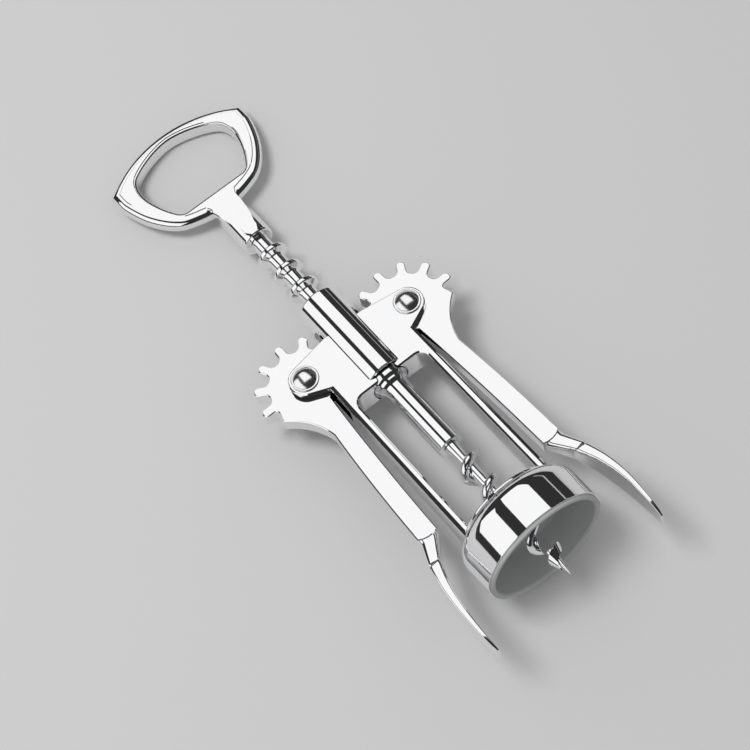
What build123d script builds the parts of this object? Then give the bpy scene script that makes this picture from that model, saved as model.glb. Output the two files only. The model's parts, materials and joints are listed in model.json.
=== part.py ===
from build123d import *
import math
import os

# A wing corkscrew: a cast frame with a bell at its foot, two levers with toothed heads that mesh with
# the rings of a rack sleeve, and a spindle through the sleeve with a worm at its foot and a cap lifter
# for a handle at its top. Lengths are in millimetres and angles in degrees. Everything is modelled about
# the screw axis: +Y runs along it from the mouth of the bell to the handle, +X is to the right and +Z to
# the front. The finished set is then laid down as it rests on a table, on the shoulder of the bell and
# the end of the handle.

# Fits
RUNNING_FIT = 0.06          # radial clearance of a turning or sliding fit
SIDE_PLAY = 0.2             # between the lever's flanks and the frame's ears
END_PLAY = 0.15             # between the ends of the rack sleeve and what holds it
STOP_GAP = 0.3              # left between the stop shoulder and the collar

# Bell and its liner
BELL_RADIUS = 18.7
BELL_SKIRT = 8.7            # straight part, from the mouth to the shoulder
BELL_SHOULDER = 5.5         # outer radius of the rounded shoulder
BELL_WALL = 1.0
LINER_WALL = 1.1            # at the mouth
LINER_LIP = 0.9             # how far the liner stands out of the bell
LINER_LIP_COVER = 0.5       # how much of the bell's rim the lip covers
LINER_TAPER = 0.9           # how much the liner's bore narrows towards its floor
LINER_FLOOR = 2.3
LINER_CORNER = 2.0
GUIDE_RADIUS = 5.3          # hole that the worm comes through
SPIGOT_WALL = 2.0           # of the frame's foot, where it passes through the bell

# Frame
COLLAR_RADIUS = 7.0
COLLAR_TOP = 98.0
COLLAR_FOOT = 66.2
COLLAR_RIM = 0.6            # rounding of the collar's ends
PIVOT_X = 17.9
PIVOT_Y = 78.8
EAR_WALL = 2.2
EAR_BOSS = 4.9              # radius of the ear around the pivot
EAR_ROOT_X = 6.6            # top corner of the ear, on the collar
EAR_ROOT_Y = 85.6
EAR_HEEL_Y = 71.9           # bottom corner of the ear, on the leg
LEG_OUTER_X = 14.5
LEG_WIDTH = 2.8
LEG_BEVEL = 0.7
WINDOW_TOP = 64.3
WINDOW_CORNER = 2.2
FOOT_THICKNESS = 0.8
SLOT_MARGIN = 0.9           # between the tips of the teeth and the ends of the collar's slots

# Gear and rack
GEAR_TEETH = 12             # on the full circle that the sector is part of
TEETH_MADE = 7              # cut on the lever, counted from the one that meshes at rest
ROLLING_RADIUS = 14.45      # the rack travels this far for each radian of the lever
GEAR_TIP = 15.0
GEAR_ROOT = 11.0
GULLET_CORNER = 1.2
TOOTH_WIDTH = 2.8
TOOTH_PHASE = 1.2           # how far the meshing tooth lies past the line from pivot to screw axis
RACK_CORE = 2.75
RING_RADIUS = 4.85
RING_LAND = 1.2             # width of a ring at its rim
RING_ROOT = 3.2             # width of a ring at the core
RING_ROOM = 4.0             # kept free between the last ring and the handle's neck

# Rack sleeve
ROD_RADIUS = 3.85
ROD_FOOT = 38.3
STOP_RADIUS = 5.6
STOP_RIM = 1.6              # width of the stop shoulder at its rim
STOP_STEP_RADIUS = 4.8      # of the smaller step under the shoulder
STOP_LENGTH = 4.0

# Worm and its spindle
THREAD_PITCH = 8.7
THREAD_RADIUS = 4.1         # over the thread
THREAD_CREST = 1.7          # half the thread's section, measured from the axis outwards
THREAD_HALF = 1.3           # half the thread's section, measured along the axis
THREAD_TOP = 32.9
THREAD_FOOT = -6.5          # where the thread has run out on the point
GRIND_TOP = -0.5            # where the crest begins to be ground down to the point
POINT = -9.9
POINT_RADIUS = 0.15
POINT_START = -1.5          # where the core begins to narrow to the point
CORE_FOOT = 1.5             # radius of the core where the point begins
CORE_TOP = 1.75             # radius of the core above the thread
CORE_NECK = 34.1            # where the core begins to widen to its shoulder
SHOULDER_RADIUS = 2.15      # of the core just below the sleeve, which rests on it
SPINDLE_RADIUS = 1.45
SPINDLE_SEAT = 13.0         # depth of the spindle in the handle's neck

# Levers
LEVER_HALF = 2.5            # half the thickness of the toothed head and the arm
HEEL_X = 29.9               # corner behind the last tooth
HEEL_Y = 73.7
HEEL_HOLLOW_X = 24.9        # deepest part of the hollow under the heel
HEEL_HOLLOW_Y = 68.6
ARM_TOP_X = 21.8            # where the hollow has run into the arm
ARM_TOP_Y = 61.0
ARM_BACK_X = 23.3           # middle of the arm's outer edge
ARM_BACK_Y = 41.0
ARM_END_Y = 21.7            # end of the flat panel
ARM_END_OUTER = 24.0
ARM_END_INNER = 17.9
ARM_FRONT_X = 17.0          # middle of the arm's inner edge
ARM_FRONT_Y = 47.0
ARM_ROOT_X = 15.5
ARM_ROOT_Y = 71.0
ARM_BEVEL = 0.6

# The lever's tail, as sections below the panel: height, inner and outer side, half depth and rounding
TAIL_SECTIONS = (
    (14.2, 22.6, 26.7, 2.75, 0.9),
    (7.5, 25.1, 28.0, 2.75, 0.9),
    (0.5, 26.5, 28.5, 2.3, 0.7),
    (-6.5, 26.9, 28.3, 1.6, 0.5),
    (-14.4, 26.8, 27.4, 0.4, 0.2),
)

# Pivots
PIN_RADIUS = 2.5
PIN_HEAD_RADIUS = 4.0
PIN_HEAD_HEIGHT = 1.9
STEM_RADIUS = 1.4
STEM_LENGTH = 7.5

# Handle
HANDLE_HALF = 2.6           # half the thickness of the plate
HANDLE_TOP = 178.5
HANDLE_CORNER_X = 24.2
HANDLE_CORNER_Y = 169.8
HANDLE_FLANK = ((23.9, 163.5), (20.6, 154.3), (14.6, 147.0))
HANDLE_WAIST_Y = 143.5      # where the ring's underside meets the neck
HANDLE_SIDE = 0.4           # half the straight height left between the ring's rounded edges
OPENING_TOP = 174.7
OPENING_HALF = 16.6         # half the opening's greatest width
OPENING_WIDEST_Y = 164.5
OPENING_FLANK = (15.2, 156.5)
OPENING_SHOULDER = (13.2, 170.6)
LIP_Y = 149.2
LIP_HALF = 11.5
LIP_CORNER = 1.2
LIP_AND_TOP = ((3.3, 5.0), (-1, 0))   # directions of the opening's side at the lip and at the top
OPENING_ROUND = 0.6         # radius of the opening's edges
NECK_RADIUS = 5.0
NECK_FOOT = 127.0
NECK_FLAT_END = 130.2       # where the plate's flat has run out on the neck
NECK_FLAT_START = 133.2

# Worked out from the sizes above
BELL_TOP = BELL_SKIRT + BELL_SHOULDER
EAR_INNER = LEVER_HALF + SIDE_PLAY
EAR_OUTER = EAR_INNER + EAR_WALL
LEG_INNER_X = LEG_OUTER_X - LEG_WIDTH
FOOT_TOP = BELL_TOP + FOOT_THICKNESS
COLLAR_BORE = RING_RADIUS + RUNNING_FIT
SPIGOT_RADIUS = GUIDE_RADIUS + SPIGOT_WALL
TOOTH_PITCH = 360 / GEAR_TEETH
RACK_PITCH = 2 * math.pi * ROLLING_RADIUS / GEAR_TEETH
MESH_Y = PIVOT_Y - ROLLING_RADIUS * math.sin(math.radians(TOOTH_PHASE))
FIRST_RING_Y = MESH_Y - RACK_PITCH / 2
RINGS = 1 + int((NECK_FOOT - RING_ROOM - FIRST_RING_Y) // RACK_PITCH)
HANDLE_ROUND = HANDLE_HALF - HANDLE_SIDE
STOP_TOP = COLLAR_FOOT - STOP_GAP
STOP_FOOT = STOP_TOP - STOP_LENGTH
STOP_POCKET = STOP_RADIUS + STOP_GAP
SCREW_AXIS = Axis.Y


def turned(profile_points):
    """A solid of revolution about the screw axis from (radius, height) points."""
    return revolve(make_face(Polyline(*profile_points, close=True)), axis=SCREW_AXIS)


def bar(radius, low, high):
    """A round bar on the screw axis between two heights."""
    return turned([(0, low), (radius, low), (radius, high), (0, high)])


def slab(sketch, low, high):
    """A flat piece drawn in plan, between two depths."""
    return extrude(Plane.XY.offset(low) * sketch, high - low)


def bell_envelope(inset):
    """The bell's outside, drawn in by an inset and closed over its mouth."""
    radius = BELL_RADIUS - inset
    top = BELL_TOP - inset
    flat = radius - (BELL_SHOULDER - inset)
    outline = Polyline((flat, top), (0, top), (0, 0), (radius, 0), (radius, BELL_SKIRT))
    shoulder = RadiusArc((radius, BELL_SKIRT), (flat, top), -(BELL_SHOULDER - inset))
    return revolve(make_face(outline + shoulder), axis=SCREW_AXIS)


def bell():
    """Drawn cup with a rounded shoulder and a hole for the frame's spigot."""
    return bell_envelope(0) - bell_envelope(BELL_WALL) - bar(SPIGOT_RADIUS, 0, BELL_TOP)


def bell_liner():
    """Moulded cup that lines the bell and centres it on the bottle's neck."""
    mouth = BELL_RADIUS - BELL_WALL - LINER_WALL
    floor = BELL_TOP - BELL_WALL - LINER_FLOOR
    lip = bar(BELL_RADIUS - BELL_WALL + LINER_LIP_COVER, -LINER_LIP, 0)
    lip = fillet(lip.edges().group_by(SCREW_AXIS)[0], LINER_LIP_COVER)
    bore = turned([(0, -LINER_LIP), (mouth, -LINER_LIP), (mouth - LINER_TAPER, floor), (0, floor)])
    bore = fillet(bore.edges().group_by(SCREW_AXIS)[-1], LINER_CORNER)
    return bell_envelope(BELL_WALL) + lip - bore - bar(GUIDE_RADIUS, 0, BELL_TOP)


def ear_plan():
    """Both ears in plan, each running from the collar and the leg out round its pivot."""
    plan = Sketch()
    for side in (1, -1):
        corners = Polyline(
            (side * EAR_ROOT_X, EAR_ROOT_Y),
            (0, EAR_ROOT_Y),
            (0, EAR_HEEL_Y),
            (side * LEG_OUTER_X, EAR_HEEL_Y),
            close=True,
        )
        boss = Pos(side * PIVOT_X, PIVOT_Y) * Circle(EAR_BOSS)
        plan += make_hull(boss.edges() + corners.edges())
    return plan


def leg_plan():
    """Both legs in plan, joined above the window and open at the bell."""
    outer = Pos(0, BELL_SKIRT) * Rectangle(
        2 * LEG_OUTER_X, EAR_HEEL_Y - BELL_SKIRT, align=(Align.CENTER, Align.MIN)
    )
    window = Pos(0, FOOT_TOP) * RectangleRounded(
        2 * LEG_INNER_X, WINDOW_TOP - FOOT_TOP, WINDOW_CORNER, align=(Align.CENTER, Align.MIN)
    )
    below = Pos(0, BELL_SKIRT) * Rectangle(
        2 * LEG_INNER_X, FOOT_THICKNESS, align=(Align.CENTER, Align.MIN)
    )
    return outer - window - below


def frame_casting():
    """Collar, forked ears, legs, foot and spigot, cast in one piece and bored."""
    leg_pair = slab(leg_plan(), -EAR_OUTER, EAR_OUTER)
    sides = leg_pair.edges().filter_by(Axis.Y).filter_by(lambda edge: edge.length > WINDOW_TOP / 2)
    body = chamfer(sides, LEG_BEVEL)
    body += slab(ear_plan(), -EAR_OUTER, EAR_OUTER)
    collar = bar(COLLAR_RADIUS, COLLAR_FOOT, COLLAR_TOP)
    body += fillet(collar.edges(), COLLAR_RIM)
    body += bar(LEG_OUTER_X, BELL_SKIRT, FOOT_TOP)
    body -= bell_envelope(0)
    body += bar(SPIGOT_RADIUS, BELL_TOP - BELL_WALL, FOOT_TOP)
    body -= bar(COLLAR_BORE, COLLAR_FOOT, COLLAR_TOP)
    body -= bar(STOP_POCKET, FOOT_TOP, COLLAR_FOOT)
    body -= bar(GUIDE_RADIUS, 0, FOOT_TOP)
    for side in (1, -1):
        pivot = Pos(side * PIVOT_X, PIVOT_Y)
        body -= slab(pivot * Circle(GEAR_TIP + SLOT_MARGIN), -EAR_INNER, EAR_INNER)
        body -= slab(pivot * Circle(PIN_RADIUS), -EAR_OUTER, EAR_OUTER)
    return body


def ring(middle):
    """One ring of the rack, with sloping flanks."""
    return turned([
        (0, middle - RING_ROOT / 2),
        (RACK_CORE, middle - RING_ROOT / 2),
        (RING_RADIUS, middle - RING_LAND / 2),
        (RING_RADIUS, middle + RING_LAND / 2),
        (RACK_CORE, middle + RING_ROOT / 2),
        (0, middle + RING_ROOT / 2),
    ])


def rack_sleeve():
    """Turned sleeve: ringed rack, stop shoulder and plain rod, bored through for the spindle."""
    sleeve = bar(ROD_RADIUS, ROD_FOOT, STOP_FOOT)
    sleeve += turned([
        (0, STOP_FOOT),
        (ROD_RADIUS, STOP_FOOT),
        (STOP_STEP_RADIUS, STOP_FOOT + STOP_STEP_RADIUS - ROD_RADIUS),
        (STOP_STEP_RADIUS, STOP_TOP - STOP_RIM - STOP_RADIUS + STOP_STEP_RADIUS),
        (STOP_RADIUS, STOP_TOP - STOP_RIM),
        (STOP_RADIUS, STOP_TOP),
        (0, STOP_TOP),
    ])
    sleeve += bar(RACK_CORE, STOP_TOP, NECK_FOOT - END_PLAY)
    for index in range(RINGS):
        sleeve += ring(FIRST_RING_Y + index * RACK_PITCH)
    return sleeve - bar(SPINDLE_RADIUS + RUNNING_FIT, ROD_FOOT, NECK_FOOT)


def worm():
    """Cast auger: a thread on a tapering core, ground to a point, and a spindle up through the sleeve."""
    start = Plane(origin=(0, THREAD_TOP, 0), x_dir=(1, 0, 0), z_dir=(0, -1, 0))
    path = start * Helix(THREAD_PITCH, THREAD_TOP - THREAD_FOOT, THREAD_RADIUS - THREAD_CREST)
    across = Plane(origin=path @ 0, x_dir=(1, 0, 0), z_dir=path % 0)
    thread = sweep(across * Ellipse(THREAD_CREST, THREAD_HALF), path=path, is_frenet=True)
    outside = turned([
        (0, POINT),
        (POINT_RADIUS, POINT),
        (THREAD_RADIUS, GRIND_TOP),
        (STOP_RADIUS, GRIND_TOP),
        (STOP_RADIUS, ROD_FOOT),
        (0, ROD_FOOT),
    ])
    core = turned([
        (0, POINT),
        (POINT_RADIUS, POINT),
        (CORE_FOOT, POINT_START),
        (CORE_TOP, CORE_NECK),
        (SHOULDER_RADIUS, ROD_FOOT - END_PLAY),
        (SPINDLE_RADIUS, ROD_FOOT - END_PLAY),
        (SPINDLE_RADIUS, NECK_FOOT + SPINDLE_SEAT),
        (0, NECK_FOOT + SPINDLE_SEAT),
    ])
    return core + (thread & outside)


def gear_head():
    """Toothed head in plan, for the right-hand lever."""
    head = Sketch() + Circle(GEAR_ROOT)
    tip_centre = GEAR_TIP - TOOTH_WIDTH / 2
    for index in range(TEETH_MADE):
        tooth = Pos(tip_centre / 2, 0) * Rectangle(tip_centre, TOOTH_WIDTH)
        tooth += Pos(tip_centre, 0) * Circle(TOOTH_WIDTH / 2)
        head += Rot(0, 0, 180 + TOOTH_PHASE - index * TOOTH_PITCH) * tooth
    gullets = head.vertices().filter_by(lambda vertex: abs(vertex.center().length - GEAR_ROOT) < 0.01)
    return Pos(PIVOT_X, PIVOT_Y) * fillet(gullets, GULLET_CORNER)


def arm_plan():
    """Heel and arm in plan, for the right-hand lever."""
    heel = (HEEL_X, HEEL_Y)
    top = (ARM_TOP_X, ARM_TOP_Y)
    end_outer = (ARM_END_OUTER, ARM_END_Y)
    end_inner = (ARM_END_INNER, ARM_END_Y)
    root = (ARM_ROOT_X, ARM_ROOT_Y)
    outline = Line((PIVOT_X, PIVOT_Y), heel)
    outline += ThreePointArc(heel, (HEEL_HOLLOW_X, HEEL_HOLLOW_Y), top)
    outline += ThreePointArc(top, (ARM_BACK_X, ARM_BACK_Y), end_outer)
    outline += Line(end_outer, end_inner)
    outline += ThreePointArc(end_inner, (ARM_FRONT_X, ARM_FRONT_Y), root)
    outline += Line(root, (PIVOT_X, PIVOT_Y))
    return make_face(outline)


def tail_section(height, inner, outer, half_depth, corner):
    """A rounded cross-section of the lever's tail."""
    plane = Plane(origin=((inner + outer) / 2, height, 0), x_dir=(1, 0, 0), z_dir=(0, -1, 0))
    return plane * RectangleRounded(outer - inner, 2 * half_depth, corner)


def lever_right():
    """Toothed head, bevelled arm and tapering tail, cast in one piece and bored for the pivot."""
    arm = slab(arm_plan(), -LEVER_HALF, LEVER_HALF)
    rims = arm.edges().filter_by(lambda edge: edge.length > ARM_BACK_Y - ARM_END_Y)
    body = chamfer(rims, ARM_BEVEL)
    start = tail_section(ARM_END_Y, ARM_END_INNER, ARM_END_OUTER, LEVER_HALF, ARM_BEVEL)
    body += loft([start] + [tail_section(*section) for section in TAIL_SECTIONS])
    body += slab(gear_head(), -LEVER_HALF, LEVER_HALF)
    return body - Pos(PIVOT_X, PIVOT_Y) * Cylinder(PIN_RADIUS + RUNNING_FIT, 4 * LEVER_HALF)


def dome():
    """Domed head of a pivot, flat side down."""
    ball = (PIN_HEAD_RADIUS ** 2 + PIN_HEAD_HEIGHT ** 2) / (2 * PIN_HEAD_HEIGHT)
    return Pos(0, 0, PIN_HEAD_HEIGHT - ball) * Sphere(ball) & Pos(0, 0, ball) * Box(
        2 * ball, 2 * ball, 2 * ball
    )


def pivot_post():
    """Hollow half of a pivot: domed head in front, shaft through both ears and the lever."""
    shaft = Cylinder(PIN_RADIUS, 2 * EAR_OUTER)
    socket = Pos(0, 0, -EAR_OUTER + STEM_LENGTH / 2) * Cylinder(STEM_RADIUS, STEM_LENGTH)
    return shaft + Pos(0, 0, EAR_OUTER) * dome() - socket


def pivot_rivet():
    """Solid half of a pivot: domed head at the back and a stem pressed into the post."""
    stem = Pos(0, 0, -EAR_OUTER + STEM_LENGTH / 2) * Cylinder(STEM_RADIUS, STEM_LENGTH)
    return stem + Pos(0, 0, -EAR_OUTER) * Rot(180, 0, 0) * dome()


def ring_plan():
    """Outside of the handle's ring in plan, closed across the neck."""
    corner = (HANDLE_CORNER_X, HANDLE_CORNER_Y)
    waist = (NECK_RADIUS, HANDLE_WAIST_Y)
    flank = Spline(corner, *HANDLE_FLANK, waist)
    arch = ThreePointArc(corner, (0, HANDLE_TOP), (-HANDLE_CORNER_X, HANDLE_CORNER_Y))
    base = Line(waist, (-NECK_RADIUS, HANDLE_WAIST_Y))
    return make_face(flank + arch + mirror(flank, about=Plane.YZ) + base)


def opening_plan():
    """The handle's opening in plan, with the straight lip that lifts a cap."""
    lip_end = (LIP_HALF, LIP_Y)
    widest = (OPENING_HALF, OPENING_WIDEST_Y)
    side = Spline(lip_end, OPENING_FLANK, widest, OPENING_SHOULDER, (0, OPENING_TOP), tangents=LIP_AND_TOP)
    lip = Line(lip_end, (-LIP_HALF, LIP_Y))
    plan = Sketch() + make_face(side + mirror(side, about=Plane.YZ) + lip)
    return fillet(plan.vertices().group_by(Axis.Y)[0], LIP_CORNER)


def neck_flat():
    """What the front flat takes off the neck, running out in a curve."""
    run_out = TangentArc(
        (NECK_FLAT_START, HANDLE_HALF), (NECK_FLAT_END, NECK_RADIUS), tangent=(-1, 0)
    )
    top = Polyline(
        (NECK_FLAT_END, NECK_RADIUS),
        (HANDLE_WAIST_Y, NECK_RADIUS),
        (HANDLE_WAIST_Y, HANDLE_HALF),
        (NECK_FLAT_START, HANDLE_HALF),
    )
    return extrude(Plane.YZ * make_face(run_out + top), NECK_RADIUS, both=True)


def handle():
    """Cap lifter: a ring with rounded edges and a straight lip, on a round neck bored for the spindle."""
    plate = slab(ring_plan(), -HANDLE_HALF, HANDLE_HALF)
    plate = fillet(plate.edges().filter_by(lambda edge: edge.geom_type != GeomType.LINE), HANDLE_ROUND)
    plate -= slab(opening_plan(), -HANDLE_HALF, HANDLE_HALF)
    rims = ShapeList()
    for face in plate.faces().filter_by(Axis.Z):
        for hole in face.inner_wires():
            rims += hole.edges()
    plate = fillet(rims, OPENING_ROUND)
    neck = bar(NECK_RADIUS, NECK_FOOT, HANDLE_WAIST_Y)
    neck -= neck_flat() + mirror(neck_flat(), about=Plane.XY)
    return plate + neck - bar(SPINDLE_RADIUS, NECK_FOOT, NECK_FOOT + SPINDLE_SEAT)


def laid_down(pieces):
    """Turns the set about X until it rests on the bell and the handle, and centres it."""
    reach = HANDLE_TOP - HANDLE_ROUND - BELL_SKIRT
    drop = BELL_RADIUS - BELL_SHOULDER - HANDLE_SIDE
    lead = math.asin((BELL_SHOULDER - HANDLE_ROUND) / math.hypot(drop, reach))
    tilt = math.degrees(math.atan2(drop, reach) + lead)
    lying = {name: Rot(-tilt, 0, 0) * piece for name, piece in pieces.items()}
    box = Compound(list(lying.values())).bounding_box()
    middle = box.center()
    print(f"tilt {tilt:.6f} moved {-middle.X:.6f} {-middle.Y:.6f} {-box.min.Z:.6f}")
    place = Pos(-middle.X, -middle.Y, -box.min.Z)
    return {name: place * piece for name, piece in lying.items()}


def main():
    right = lever_right()
    pieces = {
        "frame_casting": frame_casting(),
        "bell": bell(),
        "bell_liner": bell_liner(),
        "rack_sleeve": rack_sleeve(),
        "worm": worm(),
        "handle": handle(),
        "lever_right": right,
        "lever_left": mirror(right, about=Plane.YZ),
    }
    for side, name in ((1, "right"), (-1, "left")):
        pieces["pivot_post_" + name] = Pos(side * PIVOT_X, PIVOT_Y) * pivot_post()
        pieces["pivot_rivet_" + name] = Pos(side * PIVOT_X, PIVOT_Y) * pivot_rivet()
    os.makedirs("parts", exist_ok=True)
    for name, piece in laid_down(pieces).items():
        export_step(piece, f"parts/{name}.step")


if __name__ == "__main__":
    main()
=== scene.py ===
import json
import math

import bmesh
import bpy
from mathutils import Matrix, Vector, geometry


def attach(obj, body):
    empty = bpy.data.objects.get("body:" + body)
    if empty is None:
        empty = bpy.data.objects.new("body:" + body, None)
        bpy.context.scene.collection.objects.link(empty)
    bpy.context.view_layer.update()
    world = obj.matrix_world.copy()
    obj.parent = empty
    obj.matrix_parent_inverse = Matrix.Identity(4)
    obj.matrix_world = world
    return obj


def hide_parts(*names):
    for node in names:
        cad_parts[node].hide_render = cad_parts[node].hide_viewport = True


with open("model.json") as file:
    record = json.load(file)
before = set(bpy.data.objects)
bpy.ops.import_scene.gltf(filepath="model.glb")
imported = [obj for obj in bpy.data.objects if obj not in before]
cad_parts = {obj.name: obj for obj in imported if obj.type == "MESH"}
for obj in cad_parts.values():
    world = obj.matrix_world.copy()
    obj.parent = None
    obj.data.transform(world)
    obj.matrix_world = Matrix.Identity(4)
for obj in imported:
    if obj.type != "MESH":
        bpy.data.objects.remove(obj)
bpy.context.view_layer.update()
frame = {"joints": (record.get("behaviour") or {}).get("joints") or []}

# How the corkscrew lies
# It rests on the shoulder of its bell and the end of its handle, so its screw axis leans. Every piece is
# made upright about that axis in millimetres, X to the right lever, Y to the handle and Z to the front,
# and is then laid down where the joints say.

MM = 0.001
NECK_FOOT = 127.0
joints = {joint["name"]: joint for joint in frame["joints"]}
to_handle = -Vector(joints["rack_slide"]["axis"])
to_front = Vector(joints["right_lever_hinge"]["axis"])
to_right = to_handle.cross(to_front)
mouth = Vector(joints["screw_spin"]["pos_m"]) - to_handle * NECK_FOOT * MM
lean = Matrix((to_right, to_handle, to_front)).transposed()
laid_down = Matrix.Translation(mouth) @ lean.to_4x4() @ Matrix.Scale(MM, 4)


# Frame casting
# The body of the corkscrew: a bored collar with forked ears for the levers, and two legs down to a foot on
# the bell. It is die-cast in zinc, tumbled and plated with bright chrome, so its edges are soft.

COLLAR_RADIUS = 7.0
COLLAR_TOP = 98.0
COLLAR_FOOT = 66.2
COLLAR_ROUNDING = 0.8
COLLAR_BORE = 4.91
STOP_POCKET = 5.9
PIVOT_X = 17.9
PIVOT_Y = 78.8
EAR_INNER = 2.7
EAR_OUTER = 4.9
EAR_BOSS = 4.9
EAR_CORNERS = ((6.6, 85.6), (0, 85.6), (0, 71.9), (14.5, 71.9))
EAR_RIM = 0.6
EAR_RIM_FOOT = 72.9
LEG_OUTER_X = 14.5
LEG_INNER_X = 11.7
LEG_TOP = 71.9
LEG_RIM = 1.2
WINDOW_TOP = 64.3
WINDOW_ROUNDING = 2.6
FOOT_TOP = 15.0
BELL_TOP = 14.2
SPIGOT_FOOT = 13.2
SPIGOT_RADIUS = 7.3
GUIDE_RADIUS = 5.3
LEVER_ROOM = 15.9
CHROME_COLOUR = (0.93, 0.93, 0.94, 1.0)
HAZE_SCALE = 420.0
WAVE_HEIGHT = 0.00006
ROUND_STEPS = 128
BOSS_STEPS = 96
CUT_PAST = 1.0
TOUCHING = 0.001
WELD = 0.0005
SHARP_ANGLE = math.radians(28)


def drawn(corners, closed=True):
    """An outline through (x, y, rounding) corners. A rounding is the length it takes off each side."""
    shape = bmesh.new()
    points = [shape.verts.new((x, y, 0)) for x, y, rounding in corners]
    following = points[1:] + points[:1] if closed else points[1:]
    for point, after in zip(points, following):
        shape.edges.new((point, after))
    for point, corner in zip(points, corners):
        if corner[2]:
            round_off(shape, [point], corner[2])
    return shape


def round_off(shape, points, reach, segments=6):
    """Rounds corners of an outline."""
    bmesh.ops.bevel(
        shape, geom=points, offset=reach, offset_type="OFFSET", segments=segments, profile=0.5,
        affect="VERTICES", material=-1,
    )


def turned(corners, closed=True, steps=ROUND_STEPS):
    """Spins a profile of (radius, height, rounding) corners about the screw axis."""
    shape = drawn(corners, closed)
    bmesh.ops.spin(
        shape, geom=shape.verts[:] + shape.edges[:], cent=(0, 0, 0), axis=(0, 1, 0),
        angle=2 * math.pi, steps=steps, use_merge=True,
    )
    bmesh.ops.remove_doubles(shape, verts=shape.verts, dist=WELD)
    bmesh.ops.recalc_face_normals(shape, faces=shape.faces)
    return shape


def thickened(shape, low, high):
    """Fills a closed outline and extrudes it between two depths."""
    filled = bmesh.ops.contextual_create(shape, geom=shape.edges[:])["faces"]
    bmesh.ops.translate(shape, verts=shape.verts, vec=(0, 0, low))
    raised = bmesh.ops.extrude_face_region(shape, geom=filled)["geom"]
    points = [part for part in raised if isinstance(part, bmesh.types.BMVert)]
    bmesh.ops.translate(shape, verts=points, vec=(0, 0, high - low))
    bmesh.ops.recalc_face_normals(shape, faces=shape.faces)
    return shape


def rims(shape, depths, wanted=lambda middle: True):
    """The edges that lie at these depths and whose middles are wanted."""
    found = []
    for edge in shape.edges:
        one, two = (point.co for point in edge.verts)
        for depth in depths:
            both_there = abs(one.z - depth) < TOUCHING and abs(two.z - depth) < TOUCHING
            if both_there and wanted((one + two) / 2):
                found.append(edge)
    return found


def soften(shape, edges, reach, segments=3):
    """Rounds edges of a solid."""
    bmesh.ops.bevel(
        shape, geom=edges, offset=reach, offset_type="OFFSET", segments=segments, profile=0.5,
        affect="EDGES", material=-1,
    )
    return shape


def combined(whole, part, operation):
    """Joins a closed shape to another one, or cuts it out of it."""
    carriers = []
    for shape in (whole, part):
        mesh = bpy.data.meshes.new("blank")
        shape.to_mesh(mesh)
        shape.free()
        carriers.append(bpy.data.objects.new("blank", mesh))
        bpy.context.scene.collection.objects.link(carriers[-1])
    cut = carriers[0].modifiers.new("cut", "BOOLEAN")
    cut.object = carriers[1]
    cut.operation = operation
    cut.solver = "MANIFOLD"
    bpy.context.view_layer.update()
    result = bmesh.new()
    result.from_object(carriers[0], bpy.context.evaluated_depsgraph_get())
    for carrier in carriers:
        bpy.data.meshes.remove(carrier.data)
    bmesh.ops.remove_doubles(result, verts=result.verts, dist=WELD)
    return result


def lay_down(shape, name, body, finish, node):
    """Puts a finished piece in its place on its body, where it stands for this node."""
    bmesh.ops.transform(shape, matrix=laid_down, verts=shape.verts)
    mesh = bpy.data.meshes.new(name)
    shape.to_mesh(mesh)
    shape.free()
    mesh.shade_smooth()
    mesh.set_sharp_from_angle(angle=SHARP_ANGLE)
    mesh.materials.append(finish)
    piece = bpy.data.objects.new(name, mesh)
    bpy.context.scene.collection.objects.link(piece)
    even = piece.modifiers.new("even_flats", "WEIGHTED_NORMAL")
    even.keep_sharp = True
    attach(piece, body)
    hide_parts(node)


class Signal:
    """An output of a shader node, so that sums on it read as sums."""

    def __init__(self, tree, socket):
        self.tree = tree
        self.socket = socket

    def maths(self, operation, first, second):
        """A Math node on two signals or numbers."""
        node = self.tree.nodes.new("ShaderNodeMath")
        node.operation = operation
        for entry, value in zip(node.inputs, (first, second)):
            if isinstance(value, Signal):
                self.tree.links.new(value.socket, entry)
            else:
                entry.default_value = value
        return Signal(self.tree, node.outputs[0])

    def __add__(self, other):
        return self.maths("ADD", self, other)

    def __radd__(self, other):
        return self.maths("ADD", other, self)

    def __mul__(self, other):
        return self.maths("MULTIPLY", self, other)

    def __rmul__(self, other):
        return self.maths("MULTIPLY", other, self)


class Wiring:
    """The nodes of one material or of the world."""

    def __init__(self, owner):
        owner.use_nodes = True
        self.tree = owner.node_tree

    def add(self, kind, settings=(), inputs=(), output=0):
        """Places a node, its settings first and then its values or links, and gives one of its outputs."""
        node = self.tree.nodes.new(kind)
        for name, value in dict(settings).items():
            setattr(node, name, value)
        for name, value in dict(inputs).items():
            self.feed(node.inputs[name], value)
        return Signal(self.tree, node.outputs[output])

    def feed(self, entry, value):
        """Links a signal to a socket, or sets its value."""
        if isinstance(value, Signal):
            self.tree.links.new(value.socket, entry)
        else:
            entry.default_value = value


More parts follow.
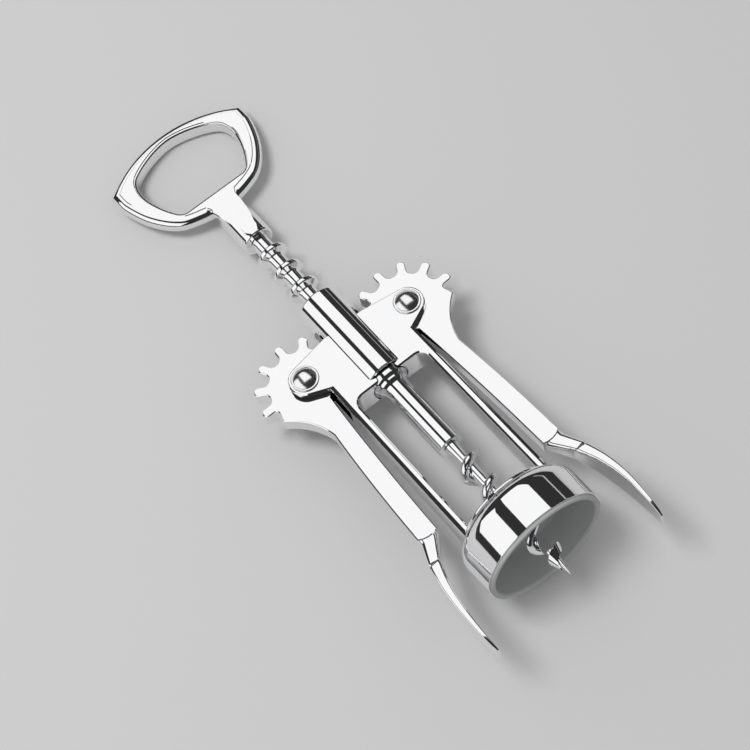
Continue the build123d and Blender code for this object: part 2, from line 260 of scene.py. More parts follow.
def plated(name, waviness, grain, dulling=0.02):
    """Bright chrome: nearly a mirror, wavy from the metal under it, with a faint haze of handling."""
    finish = bpy.data.materials.new(name)
    wiring = Wiring(finish)
    place = wiring.add("ShaderNodeTexCoord", output="Object")
    haze = wiring.add(
        "ShaderNodeTexNoise", inputs={"Vector": place, "Scale": HAZE_SCALE, "Detail": 3.0}, output="Fac"
    )
    waves = wiring.add(
        "ShaderNodeTexNoise", inputs={"Vector": place, "Scale": grain, "Detail": 1.0}, output="Fac"
    )
    bump = wiring.add(
        "ShaderNodeBump",
        inputs={"Strength": waviness, "Distance": WAVE_HEIGHT, "Height": waves}, output="Normal",
    )
    shader = wiring.tree.nodes["Principled BSDF"]
    wiring.feed(shader.inputs["Base Color"], CHROME_COLOUR)
    wiring.feed(shader.inputs["Metallic"], 1.0)
    wiring.feed(shader.inputs["Roughness"], haze * 0.05 + dulling)
    wiring.feed(shader.inputs["Normal"], bump)
    return finish


def ear_pair(side):
    """The front and back ear of one side, each a plate drawn tight round its boss and its corners."""
    shape = bmesh.new()
    for depth in (EAR_INNER, EAR_OUTER):
        boss = Matrix.Translation((side * PIVOT_X, PIVOT_Y, depth))
        bmesh.ops.create_circle(shape, segments=BOSS_STEPS, radius=EAR_BOSS, matrix=boss)
        for x, y in EAR_CORNERS:
            shape.verts.new((side * x, y, depth))
    hull = bmesh.ops.convex_hull(shape, input=shape.verts[:])
    spare = [part for part in hull["geom_interior"] if isinstance(part, bmesh.types.BMVert)]
    bmesh.ops.delete(shape, geom=spare, context="VERTS")
    bmesh.ops.dissolve_limit(shape, angle_limit=math.radians(1), verts=shape.verts, edges=shape.edges)
    bmesh.ops.recalc_face_normals(shape, faces=shape.faces)
    soften(
        shape,
        rims(shape, [EAR_OUTER], lambda middle: abs(middle.x) > LEG_OUTER_X or middle.y > EAR_RIM_FOOT),
        EAR_RIM,
    )
    bmesh.ops.mirror(shape, geom=shape.verts[:] + shape.edges[:] + shape.faces[:], axis="Z", merge_dist=0)
    bmesh.ops.recalc_face_normals(shape, faces=shape.faces)
    return shape


cast_chrome = plated("cast_chrome", waviness=0.5, grain=90.0)
turned_chrome = plated("turned_chrome", waviness=0.15, grain=160.0)

casting = thickened(drawn([
    (-LEG_OUTER_X, SPIGOT_FOOT, 0),
    (-LEG_OUTER_X, LEG_TOP, 0),
    (LEG_OUTER_X, LEG_TOP, 0),
    (LEG_OUTER_X, SPIGOT_FOOT, 0),
    (LEG_INNER_X, SPIGOT_FOOT, 0),
    (LEG_INNER_X, WINDOW_TOP, WINDOW_ROUNDING),
    (-LEG_INNER_X, WINDOW_TOP, WINDOW_ROUNDING),
    (-LEG_INNER_X, SPIGOT_FOOT, 0),
]), -EAR_OUTER, EAR_OUTER)
soften(
    casting,
    rims(casting, (-EAR_OUTER, EAR_OUTER), lambda middle: SPIGOT_FOOT < middle.y < LEG_TOP),
    LEG_RIM,
)
collar = turned([
    (0, COLLAR_FOOT, 0),
    (COLLAR_RADIUS, COLLAR_FOOT, COLLAR_ROUNDING / 2),
    (COLLAR_RADIUS, COLLAR_TOP, COLLAR_ROUNDING),
    (0, COLLAR_TOP, 0),
], closed=False)
foot = turned([
    (0, SPIGOT_FOOT, 0),
    (SPIGOT_RADIUS, SPIGOT_FOOT, 0),
    (SPIGOT_RADIUS, BELL_TOP, 0),
    (LEG_OUTER_X, BELL_TOP, 0),
    (LEG_OUTER_X, FOOT_TOP, 0.5),
    (0, FOOT_TOP, 0),
], closed=False)
casting = combined(casting, collar, "UNION")
casting = combined(casting, foot, "UNION")
for side in (1, -1):
    room = bmesh.new()
    bmesh.ops.create_cone(
        room, cap_ends=True, segments=ROUND_STEPS, radius1=LEVER_ROOM, radius2=LEVER_ROOM,
        depth=2 * EAR_INNER, matrix=Matrix.Translation((side * PIVOT_X, PIVOT_Y, 0)),
    )
    casting = combined(casting, room, "DIFFERENCE")
for side in (1, -1):
    casting = combined(casting, ear_pair(side), "UNION")
for radius, low, high in (
    (COLLAR_BORE, COLLAR_FOOT - CUT_PAST, COLLAR_TOP + CUT_PAST),
    (STOP_POCKET, FOOT_TOP + CUT_PAST, COLLAR_FOOT),
    (GUIDE_RADIUS, 0, FOOT_TOP + 2 * CUT_PAST),
):
    bore = turned([(0, low, 0), (radius, low, 0), (radius, high, 0), (0, high, 0)], closed=False)
    casting = combined(casting, bore, "DIFFERENCE")
lay_down(casting, "frame_body", "frame", cast_chrome, "frame_casting")


# Bell
# A cup drawn from steel sheet and chrome plated, held on the frame by the foot's spigot through its top.
# Its mouth is closed by the rim of the liner.

BELL_RADIUS = 18.7
BELL_SHOULDER = 5.5
BELL_WALL = 1.0
BELL_RIM = 0.2
BELL_STEPS = 192

bell_inside = BELL_RADIUS - BELL_WALL
bell_cup = turned([
    (BELL_RADIUS, 0, BELL_RIM),
    (BELL_RADIUS, BELL_TOP, BELL_SHOULDER),
    (SPIGOT_RADIUS, BELL_TOP, 0),
    (SPIGOT_RADIUS, BELL_TOP - BELL_WALL, 0),
    (bell_inside, BELL_TOP - BELL_WALL, BELL_SHOULDER - BELL_WALL),
    (bell_inside, 0, BELL_RIM),
], steps=BELL_STEPS)
lay_down(bell_cup, "bell_cup", "frame", turned_chrome, "bell")


# Liner
# A cup moulded in grey plastic and pushed into the bell. Its bore narrows inwards to centre the mouth of a
# bottle, which its floor rests on, and its lip covers the bell's rim.

LINER_LIP = 0.9
LINER_LIP_RADIUS = 18.2
LINER_MOUTH = 16.6
LINER_BORE_END = 15.7
LINER_FLOOR = 10.9
LINER_GREY = (0.47, 0.475, 0.48)
GRAIN_SCALE = 2600.0
GRAIN_HEIGHT = 0.00004
CLOUD_SHADE = 0.86


def moulded(name, colour):
    """Matt moulded plastic with a fine spark-eroded grain and faint clouds of shade."""
    finish = bpy.data.materials.new(name)
    wiring = Wiring(finish)
    place = wiring.add("ShaderNodeTexCoord", output="Object")
    grain = wiring.add(
        "ShaderNodeTexNoise", inputs={"Vector": place, "Scale": GRAIN_SCALE, "Detail": 2.0}, output="Fac"
    )
    cloud = wiring.add(
        "ShaderNodeTexNoise", inputs={"Vector": place, "Scale": 90.0, "Detail": 2.0}, output="Fac"
    )
    shade = wiring.add(
        "ShaderNodeMix", {"data_type": "RGBA"},
        {"Factor": cloud, "A": (*colour, 1.0), "B": (*(CLOUD_SHADE * part for part in colour), 1.0)},
        output="Result",
    )
    bump = wiring.add(
        "ShaderNodeBump",
        inputs={"Strength": 0.35, "Distance": GRAIN_HEIGHT, "Height": grain}, output="Normal",
    )
    shader = wiring.tree.nodes["Principled BSDF"]
    wiring.feed(shader.inputs["Base Color"], shade)
    wiring.feed(shader.inputs["Roughness"], grain * 0.12 + 0.5)
    wiring.feed(shader.inputs["Normal"], bump)
    return finish


grey_plastic = moulded("grey_liner", LINER_GREY)
liner = turned([
    (LINER_MOUTH, -LINER_LIP, 0.9),
    (LINER_LIP_RADIUS, -LINER_LIP, 0.5),
    (LINER_LIP_RADIUS, 0, 0),
    (bell_inside, 0, 0),
    (bell_inside, BELL_TOP - BELL_WALL, BELL_SHOULDER - BELL_WALL),
    (GUIDE_RADIUS, BELL_TOP - BELL_WALL, 0),
    (GUIDE_RADIUS, LINER_FLOOR, 0.3),
    (LINER_BORE_END, LINER_FLOOR, 2.0),
], steps=BELL_STEPS)
lay_down(liner, "bell_lining", "frame", grey_plastic, "bell_liner")


# Pivots
# Each lever turns on a hollow post with a domed and flanged head in front, closed from the back by a rivet
# with the same head. Both are turned steel, and tumbled, so their plating is softer than the rest.

HEAD_RADIUS = 4.0
HEAD_FLANGE = 0.45
DOME_RADIUS = 3.35
DOME_FOOT = 0.65
HEAD_HEIGHT = 1.9
POST_RADIUS = 2.5
SHAFT_LENGTH = 4.7
PIN_STEPS = 96
ARC_STEPS = 48


def arc_to_top(start, top):
    """Points of the arc that leads from a point to the height of its top, where x is 0."""
    rise = top - start[1]
    radius = (start[0] ** 2 + rise ** 2) / (2 * rise)
    reach = math.asin(start[0] / radius)
    turns = [reach * (1 - step / ARC_STEPS) for step in range(ARC_STEPS + 1)]
    return [Vector((radius * math.sin(turn), top - radius * (1 - math.cos(turn)))) for turn in turns]


def unrounded(points):
    """These points as corners of an outline, with no rounding."""
    return [(x, y, 0) for x, y in points]


def domed_pin(side, facing):
    """One half of a pivot: a domed head with a thin flange on the outside of an ear, and its shaft."""
    dome = arc_to_top((DOME_RADIUS, DOME_FOOT), HEAD_HEIGHT)
    shape = turned(unrounded(reversed(dome)) + [
        (DOME_RADIUS, HEAD_FLANGE, 0),
        (HEAD_RADIUS, HEAD_FLANGE, 0.3),
        (HEAD_RADIUS, 0, 0),
        (POST_RADIUS, 0, 0),
        (POST_RADIUS, -SHAFT_LENGTH, 0),
        (0, -SHAFT_LENGTH, 0),
    ], closed=False, steps=PIN_STEPS)
    bmesh.ops.rotate(shape, verts=shape.verts, matrix=Matrix.Rotation(facing * math.pi / 2, 3, "X"))
    bmesh.ops.translate(shape, verts=shape.verts, vec=(side * PIVOT_X, PIVOT_Y, facing * EAR_OUTER))
    return shape


rumbled_chrome = plated("rumbled_chrome", waviness=0.4, grain=300.0, dulling=0.16)
for side, name in ((1, "right"), (-1, "left")):
    for facing, kind in ((1, "post"), (-1, "rivet")):
        lay_down(
            domed_pin(side, facing), f"{name}_{kind}_head", "frame", rumbled_chrome,
            f"pivot_{kind}_{name}",
        )


# Rack sleeve
# Turned from steel bar: a plain rod, a stepped shoulder that stops under the collar, and the rings that the
# levers' teeth mesh with. It is bored through for the spindle of the worm.

RING_RADIUS = 4.85
RING_LAND = 1.2
RING_ROOT = 3.2
RING_ROOT_ROUNDING = 0.5
RING_CREST_ROUNDING = 0.3
RACK_CORE = 2.75
ROLLING_RADIUS = 14.45
GEAR_TEETH = 12
RACK_PITCH = 2 * math.pi * ROLLING_RADIUS / GEAR_TEETH
FIRST_RING = 74.714
RINGS = 7
ROD_RADIUS = 3.85
ROD_FOOT = 38.3
SLEEVE_BORE = 1.51
SLEEVE_TOP = 126.85
STOP_FOOT = 61.9
STOP_TOP = 65.9
STOP_RADIUS = 5.6
STOP_STEP = 4.8
STOP_RIM = 1.6
STEP_ROUNDING = 0.2

sleeve = [
    (SLEEVE_BORE, ROD_FOOT, 0),
    (ROD_RADIUS, ROD_FOOT, 0.45),
    (ROD_RADIUS, STOP_FOOT, STEP_ROUNDING),
    (STOP_STEP, STOP_FOOT + STOP_STEP - ROD_RADIUS, STEP_ROUNDING),
    (STOP_STEP, STOP_TOP - STOP_RIM - STOP_RADIUS + STOP_STEP, STEP_ROUNDING),
    (STOP_RADIUS, STOP_TOP - STOP_RIM, STEP_ROUNDING),
    (STOP_RADIUS, STOP_TOP, STEP_ROUNDING),
    (RACK_CORE, STOP_TOP, STEP_ROUNDING),
]
for index in range(RINGS):
    middle = FIRST_RING + index * RACK_PITCH
    sleeve += [
        (RACK_CORE, middle - RING_ROOT / 2, RING_ROOT_ROUNDING),
        (RING_RADIUS, middle - RING_LAND / 2, RING_CREST_ROUNDING),
        (RING_RADIUS, middle + RING_LAND / 2, RING_CREST_ROUNDING),
        (RACK_CORE, middle + RING_ROOT / 2, RING_ROOT_ROUNDING),
    ]
sleeve += [(RACK_CORE, SLEEVE_TOP, STEP_ROUNDING), (SLEEVE_BORE, SLEEVE_TOP, 0)]
lay_down(turned(sleeve), "ringed_sleeve", "rack", turned_chrome, "rack_sleeve")


# Worm
# A cast auger with a tapering core and a right-handed thread, ground to a point below the bell. Its spindle
# runs up through the sleeve into the handle's neck.

THREAD_PITCH = 8.7
THREAD_RADIUS = 4.1
THREAD_CREST = 1.95
THREAD_HALF = 1.5
THREAD_TOP = 32.9
THREAD_FOOT = -6.5
GRIND_TOP = -0.5
POINT = -9.9
POINT_RADIUS = 0.15
CORE_FOOT_Y = -1.5
CORE_FOOT = 1.5
CORE_TOP = 1.75
CORE_NECK = 34.1
SHOULDER_RADIUS = 2.15
SHOULDER_TOP = 38.15
SPINDLE_RADIUS = 1.45
SPINDLE_TOP = 140.0
CORE_STEPS = 64
CREST_STEPS = 24
STEPS_PER_TURN = 64

core = turned([
    (0, POINT, 0),
    (POINT_RADIUS, POINT, 0),
    (CORE_FOOT, CORE_FOOT_Y, 0.6),
    (CORE_TOP, CORE_NECK, 1.0),
    (SHOULDER_RADIUS, SHOULDER_TOP, 0.15),
    (SPINDLE_RADIUS, SHOULDER_TOP, 0),
    (SPINDLE_RADIUS, SPINDLE_TOP, 0),
    (0, SPINDLE_TOP, 0),
], closed=False, steps=CORE_STEPS)
thread = bmesh.new()
crest_middle = Matrix.Translation((THREAD_RADIUS - THREAD_CREST, THREAD_TOP, 0))
oval = Matrix.Diagonal((THREAD_CREST, THREAD_HALF, 1, 1))
bmesh.ops.create_circle(thread, segments=CREST_STEPS, radius=1, matrix=crest_middle @ oval)
first_edges = thread.edges[:]
turns = (THREAD_TOP - THREAD_FOOT) / THREAD_PITCH
thread_steps = round(turns * STEPS_PER_TURN)
swept = bmesh.ops.spin(
    thread, geom=thread.verts[:] + thread.edges[:], cent=(0, 0, 0), axis=(0, -1, 0),
    dvec=(0, -THREAD_PITCH * turns / thread_steps, 0), angle=2 * math.pi * turns, steps=thread_steps,
)
last_edges = [part for part in swept["geom_last"] if isinstance(part, bmesh.types.BMEdge)]
for ending in (first_edges, last_edges):
    bmesh.ops.contextual_create(thread, geom=ending)

# Grinding takes the thread down to a cone that ends in the point.
for point in thread.verts:
    radius = math.hypot(point.co.x, point.co.z)
    ground = POINT_RADIUS + (THREAD_RADIUS - POINT_RADIUS) * (point.co.y - POINT) / (GRIND_TOP - POINT)
    if radius > ground:
        point.co.x *= ground / radius
        point.co.z *= ground / radius
bmesh.ops.recalc_face_normals(thread, faces=thread.faces)

# Core and thread stay closed shells of their own, one sunk in the other.
core_mesh = bpy.data.meshes.new("core")
core.to_mesh(core_mesh)
core.free()
thread.from_mesh(core_mesh)
bpy.data.meshes.remove(core_mesh)
lay_down(thread, "auger", "screw", turned_chrome, "worm")


# Handle
# A ring whose face steps down at a fine crease and then falls away to a rounded edge, with a straight lower
# lip that lifts crown caps. Its round neck has two long flats, and the spindle is pressed into it. The
# handle is cast and plated like the frame.

HANDLE_HALF = 2.6
HANDLE_TOP = 178.5
HANDLE_CORNER = (24.2, 169.8)
HANDLE_FLANK = ((23.9, 163.5), (20.6, 154.3), (14.6, 147.0))
HANDLE_WAYS = ((9, 2.5), (0.4, 6.0))
HANDLE_WAIST = 143.5
PLATE_ROOT = 139.5
PLATE_SIDE = 4.0
CREASE_STEP = 0.2
SLOPE_WIDTH = 2.4
SLOPE_DROP = 0.3
HANDLE_ROUND = 1.7
OPENING_ROUND = 0.8
OPENING_TOP = 174.7
OPENING_POINTS = ((15.2, 156.5), (16.6, 164.5), (13.2, 170.6))
OPENING_WAYS = ((3.3, 5.0), (-14, 0))
LIP = (11.5, 149.2)
NECK_RADIUS = 5.0
NECK_TOP = 146.5
NECK_FLAT_END = 128.2
NECK_FLAT_START = 141.5
NECK_FLAT_ROUNDING = 3.0
CURVE_STEPS = 14
CORNER_ROOM = 4.5
LIP_ROOM = 2.6
LIP_CORNER = 1.6
MIDDLE_LINE = (20.8, 16.1)
MIDDLE_LINE_Y = 162.0


def clear_of(points, corner, room):
    """The points that are further than this from a corner, so that a wide bevel has room there."""
    return [point for point in points if (point - Vector(corner)).length > room]


def curved(points, ways):
    """Points of a smooth curve through these ones, leaving and arriving along the two ways."""
    points = [Vector(point) for point in points]
    slopes = [(after - before) / 2 for before, after in zip(points, points[2:])]
    slopes = [Vector(ways[0])] + slopes + [Vector(ways[1])]
    found = []
    for start, end, out, into in zip(points, points[1:], slopes, slopes[1:]):
        found += geometry.interpolate_bezier(start, start + out / 3, end - into / 3, end, CURVE_STEPS)[:-1]
    return found + [points[-1]]


def on_outline(middle):
    """Whether an edge is on the ring's flank or arch, outside the ellipse that runs round in its metal."""
    outside = math.hypot(middle.x / MIDDLE_LINE[0], (middle.y - MIDDLE_LINE_Y) / MIDDLE_LINE[1]) > 1
    beside_neck = middle.x > PLATE_SIDE + TOUCHING
    return outside and middle.x > TOUCHING and (beside_neck or middle.y > OPENING_TOP)


flank = curved(((NECK_RADIUS, HANDLE_WAIST), *reversed(HANDLE_FLANK), HANDLE_CORNER), HANDLE_WAYS)
arch = arc_to_top(HANDLE_CORNER, HANDLE_TOP)
opening = curved((LIP, *OPENING_POINTS, (0, OPENING_TOP)), OPENING_WAYS)
half_plan = unrounded([
    (0, PLATE_ROOT),
    (PLATE_SIDE, PLATE_ROOT),
    (PLATE_SIDE, HANDLE_WAIST),
    *clear_of(flank[1:], HANDLE_CORNER, CORNER_ROOM),
    HANDLE_CORNER,
    *clear_of(arch, HANDLE_CORNER, CORNER_ROOM),
    *reversed(clear_of(opening, LIP, LIP_ROOM)),
]) + [(*LIP, LIP_CORNER), (0, LIP[1], 0)]

# The slope is wide and shallow, so half the ring is bevelled while it is stretched in depth.
stretch = SLOPE_WIDTH / SLOPE_DROP
slope_top = HANDLE_HALF - CREASE_STEP
slope_foot = slope_top - SLOPE_DROP
stretched_top = slope_top * stretch
ring = thickened(drawn(half_plan), -stretched_top, stretched_top)
seam = [face for face in ring.faces if all(abs(point.co.x) < TOUCHING for point in face.verts)]
bmesh.ops.delete(ring, geom=seam, context="FACES_ONLY")
soften(ring, rims(ring, (-stretched_top, stretched_top), on_outline), SLOPE_WIDTH, 1)
bmesh.ops.scale(ring, vec=(1, 1, 1 / stretch), verts=ring.verts)
soften(ring, rims(ring, (-slope_foot, slope_foot)), HANDLE_ROUND, 6)

# The opening's edges come next, and then the flat inside the slope is raised by the crease's step.
ring.normal_update()
above_lip = rims(ring, (-slope_top, slope_top), lambda middle: middle.y > LIP[1] - TOUCHING)
opening_edges = [
    edge for edge in above_lip if any(abs(face.normal.z) < TOUCHING for face in edge.link_faces)
]
soften(ring, opening_edges, OPENING_ROUND, 4)
flats = [
    face for face in ring.faces if all(abs(abs(point.co.z) - slope_top) < TOUCHING for point in face.verts)
]
bmesh.ops.inset_region(
    ring, faces=flats, thickness=CREASE_STEP, depth=CREASE_STEP, use_even_offset=True, use_boundary=False
)
bmesh.ops.mirror(ring, geom=ring.verts[:] + ring.edges[:] + ring.faces[:], axis="X", merge_dist=TOUCHING)
bmesh.ops.recalc_face_normals(ring, faces=ring.faces)

neck = turned([
    (0, NECK_FOOT, 0),
    (NECK_RADIUS, NECK_FOOT, 0.6),
    (NECK_RADIUS, NECK_TOP, 0),
    (0, NECK_TOP, 0),
], closed=False)
for facing in (1, -1):
    flat = drawn([
        (NECK_FLAT_END, 2 * NECK_RADIUS, 0),
        (NECK_FLAT_END, NECK_RADIUS, 0),
        (NECK_FLAT_START, HANDLE_HALF, NECK_FLAT_ROUNDING),
        (2 * HANDLE_TOP, HANDLE_HALF, 0),
        (2 * HANDLE_TOP, 2 * NECK_RADIUS, 0),
    ])
    thickened(flat, -NECK_RADIUS - CUT_PAST, NECK_RADIUS + CUT_PAST)
    side_view = Matrix(((0, 0, 1), (1, 0, 0), (0, facing, 0)))
    bmesh.ops.transform(flat, matrix=side_view.to_4x4(), verts=flat.verts)
    bmesh.ops.recalc_face_normals(flat, faces=flat.faces)
    neck = combined(neck, flat, "DIFFERENCE")
handle = combined(ring, neck, "UNION")
lay_down(handle, "cap_lifter_handle", "screw", cast_chrome, "handle")


# Levers
# A pair of castings, plated like the frame: a toothed head that turns between the ears, a flat arm, and a
# tall thin tail for the thumb that curves outwards. The left one is the mirror image of the right one.

LEVER_HALF = 2.5
LEVER_RIM = 0.6
GEAR_TIP = 14.99
GEAR_ROOT = 11.0
TEETH = 7
TOOTH_PITCH = 2 * math.pi / GEAR_TEETH
FIRST_TOOTH = math.radians(181.2)
TOOTH_HALF = 1.4
TIP_ROUNDING = 1.32
GULLET_ROUNDING = 1.15
HEEL = (29.9, 73.7)
HEEL_HOLLOW = (24.9, 68.6)
ARM_TOP = (21.8, 61.0)
ARM_BACK = (23.3, 41.0)
ARM_END_OUTER = (24.0, 22.1)
ARM_END_MIDDLE = (20.9, 20.9)
ARM_END_INNER = (17.9, 21.4)
ARM_FRONT = (17.0, 47.0)
ARM_ROOT = (15.5, 71.0)
ARM_ARCS = (
    (HEEL, HEEL_HOLLOW, ARM_TOP, 12),
    (ARM_TOP, ARM_BACK, ARM_END_OUTER, 16),
    (ARM_END_OUTER, ARM_END_MIDDLE, ARM_END_INNER, 4),
    (ARM_END_INNER, ARM_FRONT, ARM_ROOT, 20),
)
BEARING_FIT = 0.06
BEARING_STEPS = 64

# Level sections of the tail: height, inner side, outer side and half the depth
TAIL_ROOT = (
    (27.0, 18.4, 23.6, 2.05),
    (20.5, 18.6, 24.3, 2.2),
    (14.6, 22.3, 26.5, 3.2),
    (14.2, 22.6, 26.4, 3.05),
)
TAIL_BLADE = (
    (13.8, 22.7, 26.8, 3.3),
    (7.5, 24.9, 28.0, 4.3),
    (0.5, 26.3, 28.5, 4.7),
    (-6.5, 26.8, 28.3, 3.9),
    (-11.5, 26.85, 27.9, 3.0),
    (-14.2, 26.8, 27.4, 2.35),
)
BLADE_STEPS = 6
TAIL_ROUNDING = 0.28        # as a share of the tail's thickness


def eased(sections):
    """Sections on smooth curves through these ones."""
    found = []
    padded = [sections[0], *sections, sections[-1]]
    for before, start, end, after in zip(padded, padded[1:], padded[2:], padded[3:]):
        for step in range(BLADE_STEPS):
            share = step / BLADE_STEPS
            found.append([
                b + (c - a) * share / 2 + (2 * a - 5 * b + 4 * c - d) * share ** 2 / 2
                + (3 * b - a - 3 * c + d) * share ** 3 / 2
                for a, b, c, d in zip(before, start, end, after)
            ])
    return [*found, sections[-1]]


def circle_through(one, two, three):
    """Centre and radius of the circle through three points."""
    a, b = two - one, three - one
    cross = 2 * (a.x * b.y - a.y * b.x)
    x = (b.y * a.length_squared - a.y * b.length_squared) / cross
    y = (a.x * b.length_squared - b.x * a.length_squared) / cross
    return one + Vector((x, y)), math.hypot(x, y)


def arc_through(start, middle, end, steps):
    """Points of the arc from one point through another to a third, without the last one."""
    one, two, three = (Vector(point) for point in (start, middle, end))
    centre, radius = circle_through(one, two, three)
    first = math.atan2(one.y - centre.y, one.x - centre.x)
    sweep = (one - centre).angle_signed(two - centre) + (two - centre).angle_signed(three - centre)
    turns = [first - sweep * step / steps for step in range(steps)]
    return [centre + radius * Vector((math.cos(turn), math.sin(turn))) for turn in turns]


def toothed_arm():
    """The flat part of the right lever: head, teeth and arm."""
    corners = []
    reach = math.sqrt(GEAR_ROOT ** 2 - TOOTH_HALF ** 2)
    for index in range(TEETH):
        turn = FIRST_TOOTH - index * TOOTH_PITCH
        along = Vector((math.cos(turn), math.sin(turn)))
        across = Vector((-along.y, along.x))
        for radius, side, rounding in (
            (reach, 1, GULLET_ROUNDING), (GEAR_TIP, 1, TIP_ROUNDING),
            (GEAR_TIP, -1, TIP_ROUNDING), (reach, -1, GULLET_ROUNDING),
        ):
            spot = Vector((PIVOT_X, PIVOT_Y)) + along * radius + across * side * TOOTH_HALF
            corners.append((spot.x, spot.y, rounding))
    for arc in ARM_ARCS:
        corners += unrounded(arc_through(*arc))
    corners.append((*ARM_ROOT, 0))
    shape = thickened(drawn(corners), -LEVER_HALF, LEVER_HALF)
    return soften(shape, rims(shape, (-LEVER_HALF, LEVER_HALF)), LEVER_RIM)


def bent_tail():
    """The tail of the right lever: a facet that leads to a blade, bridged between level sections."""
    shape = bmesh.new()
    loops = []
    for height, inner, outer, half in [*TAIL_ROOT, *eased(TAIL_BLADE)]:
        before = set(shape.edges)
        corners = [(inner, -half), (outer, -half), (outer, half), (inner, half)]
        points = [shape.verts.new((x, height, z)) for x, z in corners]
        for point, after in zip(points, points[1:] + points[:1]):
            shape.edges.new((point, after))
        round_off(shape, points, TAIL_ROUNDING * (outer - inner), 4)
        loops.append([edge for edge in shape.edges if edge not in before])
    for upper, lower in zip(loops, loops[1:]):
        bmesh.ops.bridge_loops(shape, edges=upper + lower)
    for ending in (loops[0], loops[-1]):
        bmesh.ops.contextual_create(shape, geom=ending)
    bmesh.ops.recalc_face_normals(shape, faces=shape.faces)
    return shape


for side, name in ((1, "right"), (-1, "left")):
    lever = combined(toothed_arm(), bent_tail(), "UNION")
    bearing = bmesh.new()
    bmesh.ops.create_cone(
        bearing, cap_ends=True, segments=BEARING_STEPS, depth=4 * LEVER_HALF,
        radius1=POST_RADIUS + BEARING_FIT, radius2=POST_RADIUS + BEARING_FIT,
        matrix=Matrix.Translation((PIVOT_X, PIVOT_Y, 0)),
    )
    lever = combined(lever, bearing, "DIFFERENCE")
    bmesh.ops.scale(lever, vec=(side, 1, 1), verts=lever.verts)
    bmesh.ops.recalc_face_normals(lever, faces=lever.faces)
    lay_down(lever, f"{name}_wing", f"{name}_lever", cast_chrome, f"lever_{name}")


# Table and studio
# A pale matt table under an even pale sky and a soft lamp. The chrome stands in a dark tent with a white
# panel overhead, a white card on the left and a dim strip on the right, so it shows white faces with black
# lines between them. Only reflections see the tent, and lengths are in metres here.

FLOOR_HALF = 6.0
TENT_HALF = 2.0
TENT_FOOT = 0.001
TENT_HEIGHT = 1.1
PANEL_X = (-0.22, 0.68)
PANEL_Y = (-0.05, 1.75)
PANEL_HEIGHT = 0.9
CARD_FOOT = (-0.95, 0.26)
CARD_TOP = (-0.58, 0.9)
CARD_Y = (-0.9, 1.1)
STRIP_FOOT = (1.1, 0.4)
STRIP_TOP = (1.1, 0.46)
TABLE_SHADE = 0.62
DARK_GLOW = 0.03
STRIP_GLOW = 0.45
SKY_STRENGTH = 0.5
LAMP_PLACE = Vector((-0.35, 0.25, 1.05))
LAMP_SIZE = 0.4
LAMP_POWER = 6.5


def plain(name, shade, glow=0.0):
    """A plain matt sheet, or one that shines by itself."""
    finish = bpy.data.materials.new(name)
    shader = Wiring(finish).tree.nodes["Principled BSDF"]
    shader.inputs["Base Color"].default_value = (shade, shade, shade, 1.0)
    shader.inputs["Roughness"].default_value = 0.9
    shader.inputs["Specular IOR Level"].default_value = 0.0
    shader.inputs["Emission Color"].default_value = (1.0, 1.0, 1.0, 1.0)
    shader.inputs["Emission Strength"].default_value = glow
    return finish


def level(across, along, height):
    """Corners of a level sheet between two x, two y and at one height."""
    return [
        (across[0], along[0], height), (across[1], along[0], height),
        (across[1], along[1], height), (across[0], along[1], height),
    ]


def standing(foot, top, along):
    """Corners of a sheet that stands or leans, from one (x, z) up to another, between two y."""
    return [
        (foot[0], along[0], foot[1]), (foot[0], along[1], foot[1]),
        (top[0], along[1], top[1]), (top[0], along[0], top[1]),
    ]


def board(name, corners, finish):
    """A flat sheet of the studio through four corners."""
    sheet = bmesh.new()
    sheet.faces.new([sheet.verts.new(corner) for corner in corners])
    mesh = bpy.data.meshes.new(name)
    sheet.to_mesh(mesh)
    sheet.free()
    mesh.materials.append(finish)
    made = bpy.data.objects.new(name, mesh)
    bpy.context.scene.collection.objects.link(made)
    return made


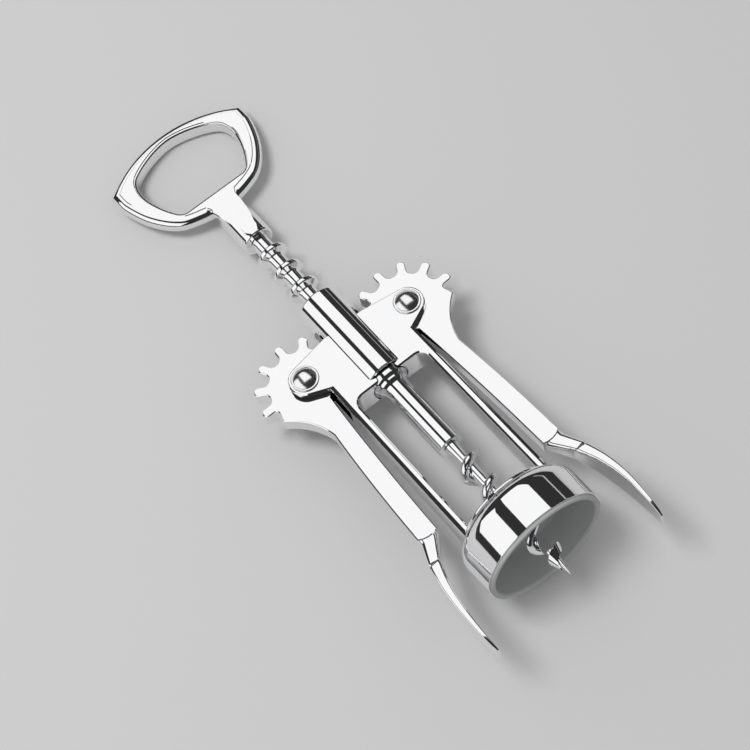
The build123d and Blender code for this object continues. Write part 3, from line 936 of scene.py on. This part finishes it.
floor_side = (-FLOOR_HALF, FLOOR_HALF)
tent_side = (-TENT_HALF, TENT_HALF)
dark = plain("dark_cloth", 0.0, DARK_GLOW)
white = plain("white_panel", 0.0, 1.0)
dim = plain("dim_strip", 0.0, STRIP_GLOW)
board("table", level(floor_side, floor_side, 0), plain("pale_table", TABLE_SHADE))
seen_in_chrome = [
    board("tent_roof", level(tent_side, tent_side, TENT_HEIGHT), dark),
    board("overhead_panel", level(PANEL_X, PANEL_Y, PANEL_HEIGHT), white),
    board("left_card", standing(CARD_FOOT, CARD_TOP, CARD_Y), white),
    board("right_strip", standing(STRIP_FOOT, STRIP_TOP, CARD_Y), dim),
]
for quarter in range(4):
    wall = standing((TENT_HALF, TENT_FOOT), (TENT_HALF, TENT_HEIGHT), tent_side)
    swing = Matrix.Rotation(quarter * math.pi / 2, 3, "Z")
    seen_in_chrome.append(
        board(f"tent_side_{quarter}", [swing @ Vector(corner) for corner in wall], dark)
    )
for sheet in seen_in_chrome:
    sheet.visible_camera = False
    sheet.visible_diffuse = False
    sheet.visible_shadow = False

lamp_data = bpy.data.lights.new("soft_lamp", "AREA")
lamp_data.size = LAMP_SIZE
lamp_data.energy = LAMP_POWER
lamp = bpy.data.objects.new("soft_lamp", lamp_data)
lamp.matrix_world = Matrix.Translation(LAMP_PLACE) @ LAMP_PLACE.to_track_quat("Z", "Y").to_matrix().to_4x4()
lamp.visible_glossy = False
bpy.context.scene.collection.objects.link(lamp)

world = bpy.data.worlds.new("studio")
bpy.context.scene.world = world
sky = Wiring(world).tree.nodes["Background"]
sky.inputs["Color"].default_value = (1.0, 1.0, 1.0, 1.0)
sky.inputs["Strength"].default_value = SKY_STRENGTH


# Camera
# It looks down from the bell's end and a little from the left, and is rolled so that the screw axis runs
# across the view. Its place and aim are about the screw axis, in millimetres.

CAMERA_AZIMUTH = math.radians(-111.66)
CAMERA_ELEVATION = math.radians(60.24)
CAMERA_ROLL = math.radians(-18.47)
CAMERA_DISTANCE = 466.9
CAMERA_AIM = Vector((-1.86, 69.26, 0))
SENSOR = 36.0
FOCAL_SHARE = 1704.3 / 750

facing_aim = (
    Matrix.Rotation(CAMERA_AZIMUTH + math.pi / 2, 3, "Z")
    @ Matrix.Rotation(math.pi / 2 - CAMERA_ELEVATION, 3, "X")
    @ Matrix.Rotation(CAMERA_ROLL, 3, "Z")
)
stand = laid_down @ (CAMERA_AIM + facing_aim @ Vector((0, 0, CAMERA_DISTANCE)))
camera_data = bpy.data.cameras.new("camera")
camera_data.sensor_width = SENSOR
camera_data.lens = SENSOR * FOCAL_SHARE
camera_data.clip_start = 0.01
camera = bpy.data.objects.new("camera", camera_data)
camera.matrix_world = Matrix.Translation(stand) @ (lean @ facing_aim).to_4x4()
bpy.context.scene.collection.objects.link(camera)
bpy.context.scene.camera = camera
bpy.context.scene.view_settings.view_transform = "Standard"
